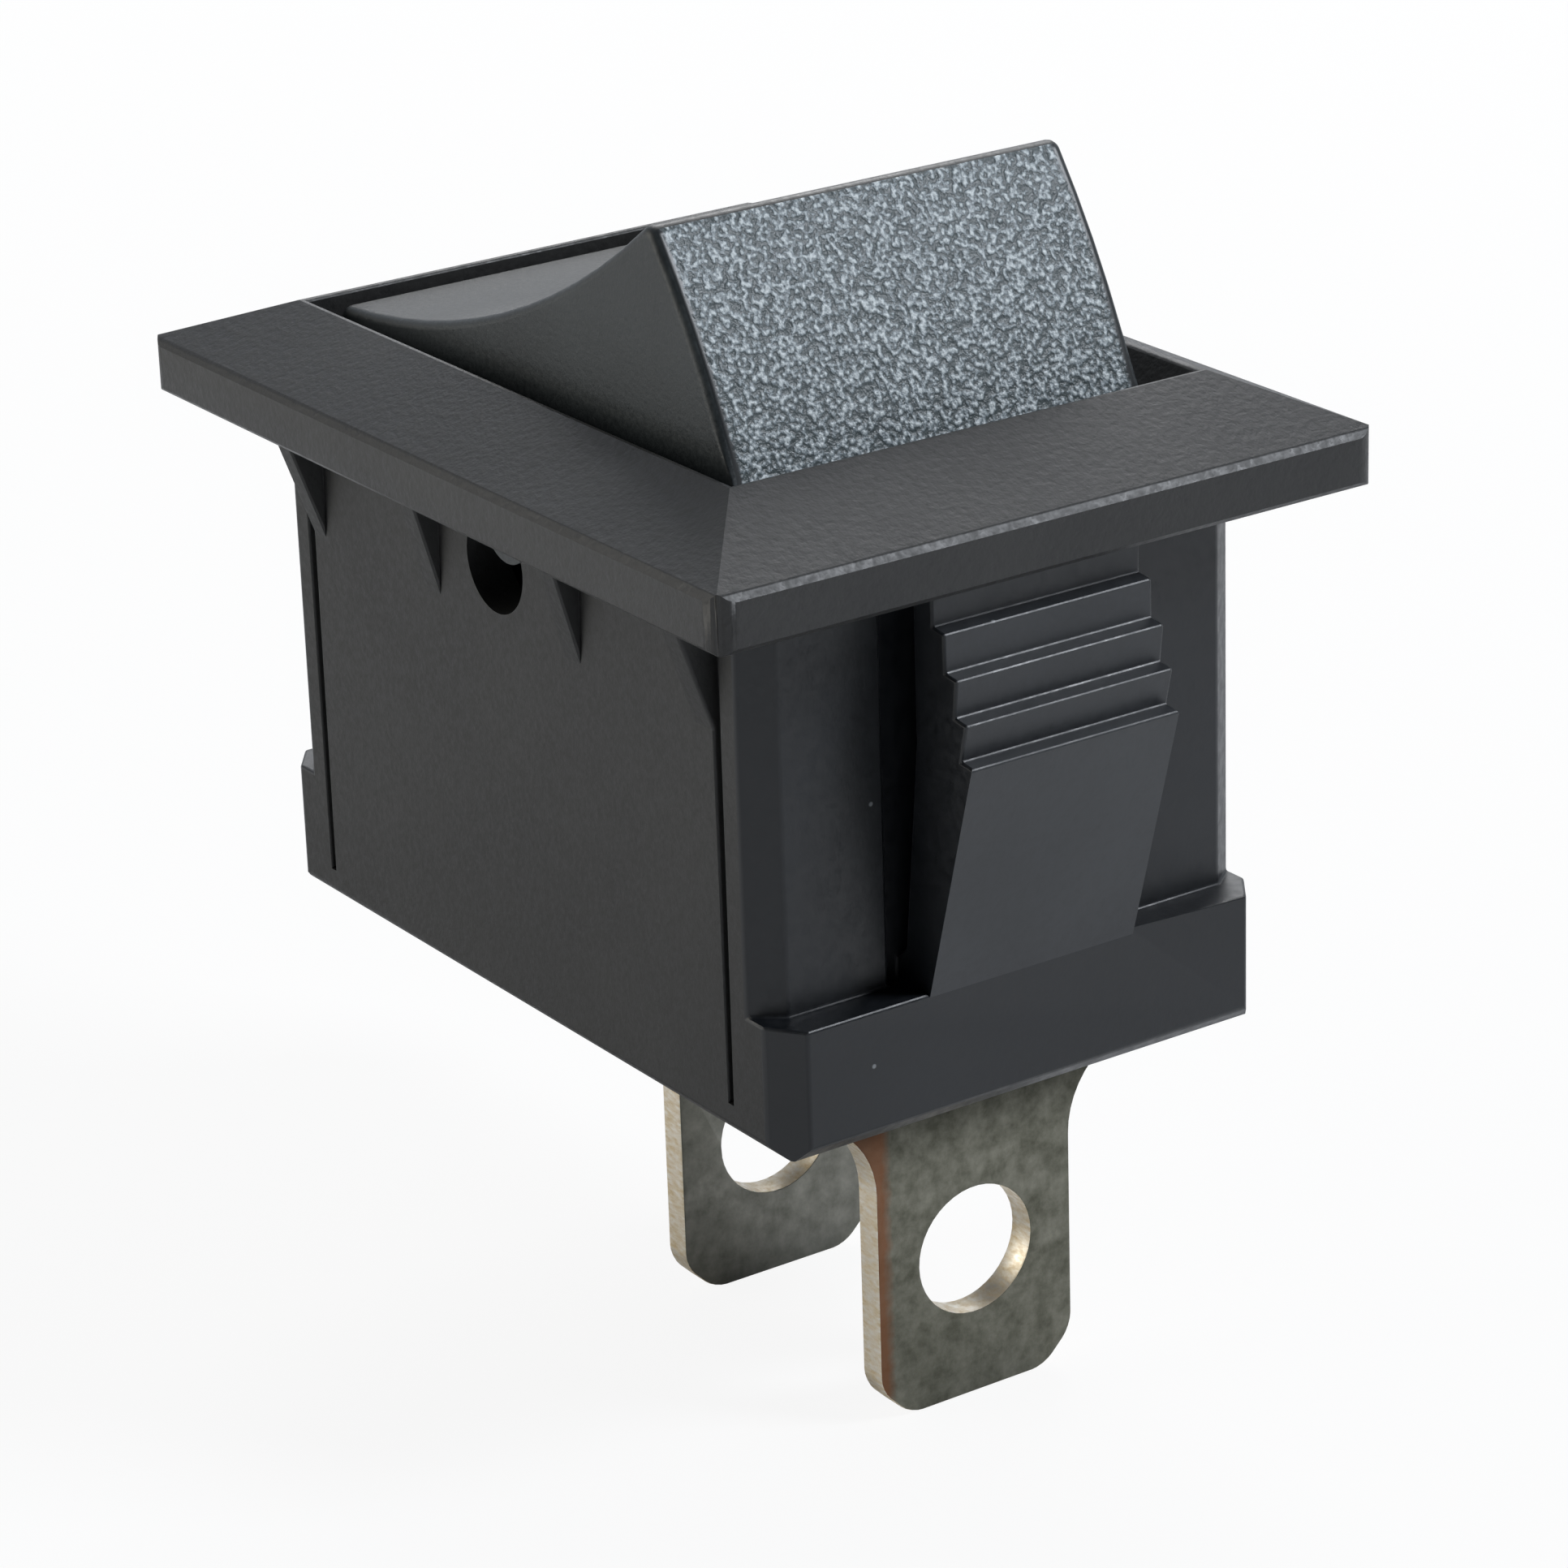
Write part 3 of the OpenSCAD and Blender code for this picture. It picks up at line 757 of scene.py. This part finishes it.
def below_the_bezel_or_at_the_rim(edge):
    """True for the body's edges and the opening's rim, apart from the sides of the ramps."""
    low, high = sorted(v.co.z for v in edge.verts)
    body = low < body_top and high < bezel_under
    rim = low > opening_rim
    # the ramp's sides end 0.05 mm from the collar's top edge, which leaves room for one of them
    ramp_side = high - low > ramp_height and max(abs(v.co.x) for v in edge.verts) > ramp_out
    return (body or rim) and not ramp_side and edge.calc_length() > shortest_edge


WALL, EDGE_PAINTED_HIGHLIGHT, END_WALL_PAINTED_SHADE, LATCH, BEZEL = range(5)
housing = merged_copy("housing", "housing_moulding")
# the new edge faces take the pale material, a painted highlight
break_edges(
    housing,
    width_mm=0.045,
    segments=3,
    material_index=EDGE_PAINTED_HIGHLIGHT,
    chosen=below_the_bezel_or_at_the_rim,
)
set_materials(
    housing, [housing_nylon, edge_nylon_painted_highlight, end_wall_nylon_painted_shade, latch_nylon_painted_light, bezel_nylon]
)

# %% Housing regions
bezel_z = -0.01 * MM
end_wall_x = 5.6 * MM
latch_x = 6.05 * MM
latch_half_width = 1.7 * MM
collar_top_z = -5.95 * MM
for face in housing.data.polygons:
    if face.center.z > bezel_z:
        face.material_index = BEZEL
    # the ends and the collar take the darker material, painted shade
    elif face.material_index == WALL and abs(face.center.x) > end_wall_x:
        outside = abs(face.center.x) > latch_x and face.center.z > collar_top_z
        on_latch = outside and abs(face.center.y) < latch_half_width
        faces_out = face.normal.x * face.center.x > 0
        # the latches' outer faces take the paler material, painted light
        face.material_index = LATCH if on_latch and faces_out else END_WALL_PAINTED_SHADE
# the broken edges stay faceted here: each narrow facet then mirrors the lamp as one clean line
finish_piece(housing, "housing_body", "housing", smooth_degrees=15)

# %% [markdown]
# ## Rocker
# The rocker is tipped about its pivot, so its faces are sorted in its own frame: sides, the two
# bowed ends, and the hollow finger surface between them. The outline of each side is rounded.

# %% Rocker edges
tilt = math.radians(20)
pivot = Vector((0, 0, -0.45)) * MM
to_rocker = Matrix.Rotation(tilt, 4, "Y") @ Matrix.Translation(-pivot)
side_y = 3.42 * MM
skirt_z = -0.55 * MM
touching = 0.01 * MM


def on_a_side(edge):
    """True for the outline of a side, down to the skirt."""
    points = [to_rocker @ v.co for v in edge.verts]
    return all(abs(abs(p.y) - side_y) < touching and p.z > skirt_z for p in points)


SIDE, BOWED_END, FINGER = range(3)
rocker = merged_copy("rocker", "rocker_moulding")
break_edges(rocker, width_mm=0.14, segments=4, material_index=SIDE, chosen=on_a_side)
set_materials(rocker, [rocker_side_nylon, rocker_end_nylon_painted_glints, finger_nylon_painted_sheen])

# %% Rocker regions
end_x = 4.45 * MM
end_foot_z = -0.6 * MM
finger_z = 2.7 * MM
sideways, outwards, upwards = 0.25, 0.75, 0.5  # parts of a face's normal
for face in rocker.data.polygons:
    centre = to_rocker @ face.center
    normal = to_rocker.to_3x3() @ face.normal
    at_an_end = abs(centre.x) > end_x and centre.z > end_foot_z
    across = abs(normal.y) < sideways
    if across and at_an_end and abs(normal.x) > outwards:
        face.material_index = BOWED_END
    # the finger surface takes the paler material, a painted sheen
    elif across and normal.z > upwards and centre.z > finger_z:
        face.material_index = FINGER
finish_piece(rocker, "rocker_body", "rocker")

# %% [markdown]
# ## Terminals
# Both blades are the same strip. Their flat faces point along X, and everything else is a sheared
# edge. The punch has worn, so the corners at the tip are rounded. Its breakaway leaves a fine
# burr line all round.

# %% Terminals
tip_z = -12 * MM
same = 0.001 * MM
sliver = 0.02 * MM
flat_face = 0.7  # least part of a normal along X on a rolled face
PLATED, SHEARED = range(2)


def at_the_tip(edge):
    """True for the short edges through the thickness, at the tip's four corners."""
    a, b = (v.co for v in edge.verts)
    through = abs(a.y - b.y) < same and abs(a.z - b.z) < same
    return through and a.z < tip_z


def not_a_sliver(edge):
    """True for an edge long enough to carry a burr line."""
    return edge.calc_length() > sliver


for node, name, plating in (
    ("end_terminal", "end_blade", worn_plating),
    ("common_terminal", "common_blade", clean_plating),
):
    blade = merged_copy(node, name)
    break_edges(blade, width_mm=0.22, segments=4, material_index=PLATED, chosen=at_the_tip)
    break_edges(blade, width_mm=0.03, segments=2, material_index=SHEARED, chosen=not_a_sliver)
    set_materials(blade, [plating, sheared_edge])
    for face in blade.data.polygons:
        face.material_index = PLATED if abs(face.normal.x) > flat_face else SHEARED
    finish_piece(blade, "housing_body", node)

# %% [markdown]
# ## Inner pieces
# The plunger, its spring, the bridge and the contacts are hidden. They keep their solids and get
# the finish of the real piece.

# %% Inner pieces
for node, material in (
    ("plunger", plunger_nylon),
    ("plunger_spring", spring_wire),
    ("contact_bridge", copper_strip),
    ("bridge_contact", silver_contact),
    ("fixed_contact", silver_contact),
):
    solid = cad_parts[node]
    if not solid.material_slots:
        solid.data.materials.append(material)
    for material_slot in solid.material_slots:
        material_slot.link = "OBJECT"
        material_slot.material = material
    print(node, "in", material.name)

# %% [markdown]
# ## Floor, background and light
# The floor and the background are white to the camera. The room is dim beside the camera and
# bright behind the object, so that low-angle reflections are pale, as before a paper backdrop. A
# broad lamp behind and above on the right is the key. A softer one on the left lights the long
# side.

# %% Floor
floor_gap = 0.02 * MM
floor_z = cad_box[0].z - floor_gap
white_share = 0.9  # the rest is paint, so that the floor keeps a soft shadow
bpy.ops.object.select_all(action="DESELECT")
bpy.ops.mesh.primitive_plane_add(size=1.2, location=(0, 0, floor_z))
floor = bpy.context.object
floor.name = "pale_floor"
floor_paint, tree, shader, _ = new_material("pale_floor")
shader.inputs["Base Color"].default_value = linear("ececec")
shader.inputs["Roughness"].default_value = 0.9
white = add_node(tree, "ShaderNodeEmission", [("Color", (1, 1, 1, 1)), ("Strength", 1)])
light_path = add_node(tree, "ShaderNodeLightPath")
seen = add_node(
    tree,
    "ShaderNodeMath",
    [(0, light_path.outputs["Is Camera Ray"]), (1, white_share)],
    operation="MULTIPLY",
)
surface = add_node(
    tree,
    "ShaderNodeMixShader",
    [(0, seen.outputs["Value"]), (1, shader.outputs["BSDF"]), (2, white.outputs["Emission"])],
)
output = next(n for n in tree.nodes if n.type == "OUTPUT_MATERIAL")
tree.links.new(surface.outputs["Shader"], output.inputs["Surface"])
floor.data.materials.append(floor_paint)
print("floor at, mm:", round(floor_z / MM, 2))

# %% World
world = bpy.data.worlds.new("soft_room")
bpy.context.scene.world = world
world.use_nodes = True
tree = world.node_tree
tree.nodes.clear()
direction = add_node(tree, "ShaderNodeTexCoord").outputs["Generated"]
towards_backdrop = add_node(
    tree,
    "ShaderNodeVectorMath",
    [(0, direction), (1, (-0.72, 0.60, 0.35))],
    operation="DOT_PRODUCT",
)
glow = add_node(
    tree,
    "ShaderNodeMapRange",
    [
        ("Value", towards_backdrop.outputs["Value"]),
        ("From Min", 0.1),
        ("From Max", 0.95),
        ("To Min", 0.05),
        ("To Max", 0.8),
    ],
    interpolation_type="SMOOTHSTEP",
)
fill = add_node(
    tree,
    "ShaderNodeBackground",
    [("Color", linear("dfe5ee")), ("Strength", glow.outputs["Result"])],
)
backdrop = add_node(tree, "ShaderNodeBackground", [("Color", (1, 1, 1, 1)), ("Strength", 1)])
light_path = add_node(tree, "ShaderNodeLightPath")
background = add_node(
    tree,
    "ShaderNodeMixShader",
    [
        (0, light_path.outputs["Is Camera Ray"]),
        (1, fill.outputs["Background"]),
        (2, backdrop.outputs["Background"]),
    ],
)
add_node(tree, "ShaderNodeOutputWorld", [("Surface", background.outputs["Shader"])])
print("world:", world.name)


# %% Lamps
def soft_lamp(name, place, aim, size, watts, colour):
    """A square lamp at place, facing aim."""
    data = bpy.data.lights.new(name, "AREA")
    data.shape = "SQUARE"
    data.size = size
    data.energy = watts
    data.color = linear(colour)[:3]
    lamp = bpy.data.objects.new(name, data)
    bpy.context.scene.collection.objects.link(lamp)
    lamp.location = place
    lamp.rotation_mode = "QUATERNION"
    lamp.rotation_quaternion = (Vector(place) - Vector(aim)).to_track_quat("Z", "Y")
    print(name, "lamp,", watts, "W")


middle = (cad_box[0] + cad_box[1]) / 2
soft_lamp(
    "right_window", (0.14, 0.14, 0.17), middle, size=0.07, watts=0.46, colour="f3f8ff"
)
soft_lamp(
    "left_wall", (-0.10, -0.17, 0.05), middle, size=0.14, watts=0.18, colour="fbf8f0"
)
# lights the floor behind the object, for the low-angle reflections
behind = Vector((-0.16, 0.12, 0.14))
floor_below = behind - Vector((0, 0, 1))
soft_lamp("backdrop", behind, floor_below, size=0.12, watts=0.3, colour="ffffff")

# %% [markdown]
# ## Colours as written
# The Standard view shows a colour about as its hex value says.

# %% Colour management
bpy.context.scene.view_settings.view_transform = "Standard"
